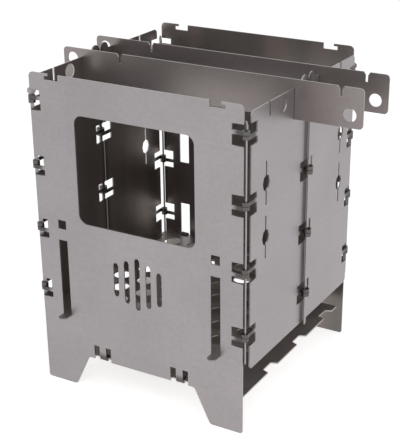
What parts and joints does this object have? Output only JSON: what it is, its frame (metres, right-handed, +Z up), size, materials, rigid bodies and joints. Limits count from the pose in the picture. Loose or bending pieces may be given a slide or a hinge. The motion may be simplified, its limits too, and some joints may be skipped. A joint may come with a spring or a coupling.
{
  "type": "folding camping stove",
  "caption": "Flat-folding sheet-metal camping stove: hinged box walls, fire window, swing-up perforated fire floor, ash plate and lift-off pot trivets.",
  "frame": {"origin": "on the ground under the middle of the whole outline, trivets and floor tabs included", "axes": "+Z up, -Y out of the front panel with the fire window, +X to the right seen from the front"},
  "size_m": [0.2416, 0.182, 0.241],
  "materials": {
    "sheet_titanium": "satin bead-blasted titanium sheet",
    "pin_titanium": "satin titanium strip",
    "trivet_titanium": "satin titanium sheet with bright cut edges"
  },
  "bodies": {
    "front": {"front_panel": "sheet_titanium", "pin_front_right": "pin_titanium", "pin_front_left": "pin_titanium"},
    "rear": {"rear_panel": "sheet_titanium", "pin_rear_right": "pin_titanium", "pin_rear_left": "pin_titanium"},
    "right_front": {"right_front_wall": "sheet_titanium", "pin_middle_right": "pin_titanium"},
    "right_rear": {"right_rear_wall": "sheet_titanium"},
    "left_front": {"left_front_wall": "sheet_titanium", "pin_middle_left": "pin_titanium"},
    "left_rear": {"left_rear_wall": "sheet_titanium"},
    "floor": {"fire_floor": "sheet_titanium"},
    "ash": {"ash_plate": "sheet_titanium"},
    "trivet_front": {"front_trivet": "trivet_titanium"},
    "trivet_rear": {"rear_trivet": "trivet_titanium"}
  },
  "joints": [
    {"name": "right_front_hinge", "type": "hinge", "parent": "front", "child": "right_front", "pos_m": [0.0668, -0.07955, 0.148], "axis": [0, 0, 1], "range_deg": [0, 1.5]},
    {"name": "right_middle_hinge", "type": "hinge", "parent": "right_front", "child": "right_rear", "pos_m": [0.07125, 0.0061, 0.148], "axis": [0, 0, -1], "range_deg": [0, 3.06]},
    {"name": "right_rear_hinge", "type": "hinge", "parent": "right_rear", "child": "rear", "pos_m": [0.0668, 0.08855, 0.148], "axis": [0, 0, 1], "range_deg": [0, 1.56]},
    {"name": "left_front_hinge", "type": "hinge", "parent": "front", "child": "left_front", "pos_m": [-0.1023, -0.07955, 0.148], "axis": [0, 0, -1], "range_deg": [0, 1.5]},
    {"name": "left_middle_hinge", "type": "hinge", "parent": "left_front", "child": "left_rear", "pos_m": [-0.10675, 0.0061, 0.148], "axis": [0, 0, 1], "range_deg": [0, 3.06]},
    {"name": "fire_floor_hinge", "type": "hinge", "parent": "rear", "child": "floor", "pos_m": [-0.01775, 0.0881, 0.0577], "axis": [-1, 0, 0], "range_deg": [0, 62]},
    {"name": "ash_plate_hinge", "type": "hinge", "parent": "front", "child": "ash", "pos_m": [-0.01775, -0.0793, 0.0285], "axis": [1, 0, 0], "range_deg": [0, 9]},
    {"name": "front_trivet_lift", "type": "slide", "parent": "front", "child": "trivet_front", "axis": [0, 0, 1], "range_m": [0, 0.03]},
    {"name": "rear_trivet_lift", "type": "slide", "parent": "rear", "child": "trivet_rear", "axis": [0, 0, 1], "range_m": [0, 0.03]}
  ],
  "couplings": [
    {"joint": "right_middle_hinge", "follows": "right_front_hinge", "ratio": 2.0388},
    {"joint": "right_rear_hinge", "follows": "right_front_hinge", "ratio": 1.0388},
    {"joint": "left_front_hinge", "follows": "right_front_hinge", "ratio": 1},
    {"joint": "left_middle_hinge", "follows": "right_front_hinge", "ratio": 2.0388}
  ]
}
